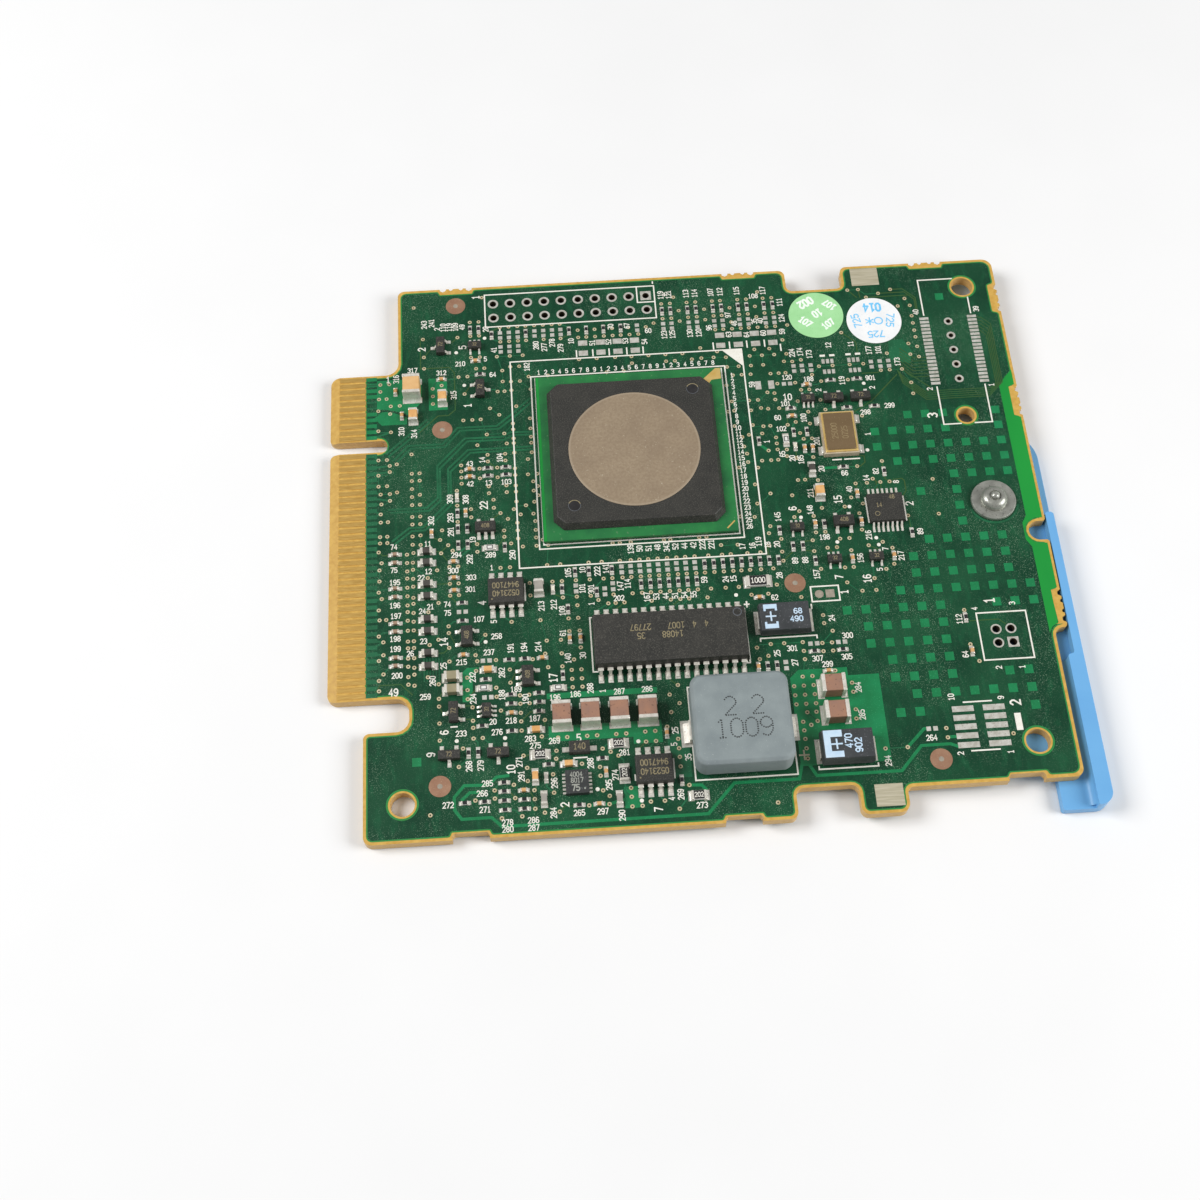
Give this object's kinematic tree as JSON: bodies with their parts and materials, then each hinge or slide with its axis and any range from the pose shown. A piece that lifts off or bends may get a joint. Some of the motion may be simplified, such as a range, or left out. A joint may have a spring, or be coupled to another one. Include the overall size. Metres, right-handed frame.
{
  "type": "storage controller card",
  "caption": "Green plug-in storage controller circuit card with a gold edge connector, one large central processor package, power parts and a light blue swinging release lever on a rivet.",
  "frame": {"origin": "centre line of the key slot at the front edge of the contact tongue, half way through the board", "axes": "+X away from the contact tongue, +Y towards the short side of the key slot, +Z out of the component face"},
  "size_m": [0.1007, 0.0866, 0.0082],
  "materials": {
    "solder_mask": "glossy green solder mask over glass-fibre laminate",
    "gold_contacts": "smooth hard gold plating",
    "solder_balls": "dull tin alloy",
    "package_laminate": "satin green package laminate",
    "mould_compound": "fine matte black epoxy moulding",
    "nickel_slug": "matte nickel plating",
    "tinned_leads": "bright tin plating",
    "ferrite_block": "pressed iron powder, slightly rough",
    "tantalum_case": "matte dark moulding with a pale band at one end",
    "ceramic_housing": "fired black ceramic",
    "bronze_lid": "satin plated lid",
    "brown_ceramic": "smooth brown ceramic with tinned ends",
    "tan_ceramic": "smooth tan ceramic with tinned ends",
    "black_film": "glass-covered black resistor film on white ceramic",
    "ferrite_bead": "dark sintered ferrite with tinned ends",
    "green_paper": "printed paper",
    "white_paper": "plain paper",
    "zinc_steel": "bright zinc plating",
    "blue_plastic": "light blue moulded plastic, fine matte grain"
  },
  "bodies": {
    "card": {"back_decoupling_capacitors": "tan_ceramic", "back_edge_contacts": "gold_contacts", "bulk_ceramic_capacitors": "brown_ceramic", "controller_heat_slug": "nickel_slug", "controller_mould_cap": "mould_compound", "controller_solder_balls": "solder_balls", "controller_substrate": "package_laminate", "coupling_capacitors": "tan_ceramic", "diode_body": "mould_compound", "diode_straps": "tinned_leads", "filter_beads": "ferrite_bead", "front_edge_contacts": "gold_contacts", "green_paper_label": "green_paper", "input_ceramic_capacitor": "tan_ceramic", "lever_rivet": "zinc_steel", "logic_chip_body": "mould_compound", "logic_chip_leads": "tinned_leads", "logic_gate_bodies": "mould_compound", "logic_gate_leads": "tinned_leads", "medium_ceramic_capacitors": "tan_ceramic", "medium_resistors": "black_film", "memory_chip_body": "mould_compound", "memory_chip_leads": "tinned_leads", "oscillator_base": "ceramic_housing", "oscillator_lid": "bronze_lid", "power_controller_body": "mould_compound", "power_controller_lands": "tinned_leads", "power_inductor_body": "ferrite_block", "power_inductor_straps": "tinned_leads", "power_switch_bodies": "mould_compound", "power_switch_leads": "tinned_leads", "printed_circuit_board": "solder_mask", "regulator_bodies": "mould_compound", "regulator_leads": "tinned_leads", "rivet_mandrel": "zinc_steel", "rivet_washer": "zinc_steel", "sense_resistor": "black_film", "small_ceramic_capacitors": "tan_ceramic", "small_resistors": "black_film", "tantalum_capacitor_bodies": "tantalum_case", "tantalum_capacitor_straps": "tinned_leads", "tiny_ceramic_capacitors": "tan_ceramic", "tiny_resistors": "black_film", "transistor_bodies": "mould_compound", "transistor_leads": "tinned_leads", "white_paper_label": "white_paper"},
    "lever": {"release_lever": "blue_plastic"}
  },
  "joints": [
    {"name": "lever_swing", "type": "hinge", "parent": "card", "child": "lever", "pos_m": [0.09266, -0.01469, -0.00153], "axis": [0, 0, 1], "range_deg": [0, 40]}
  ]
}
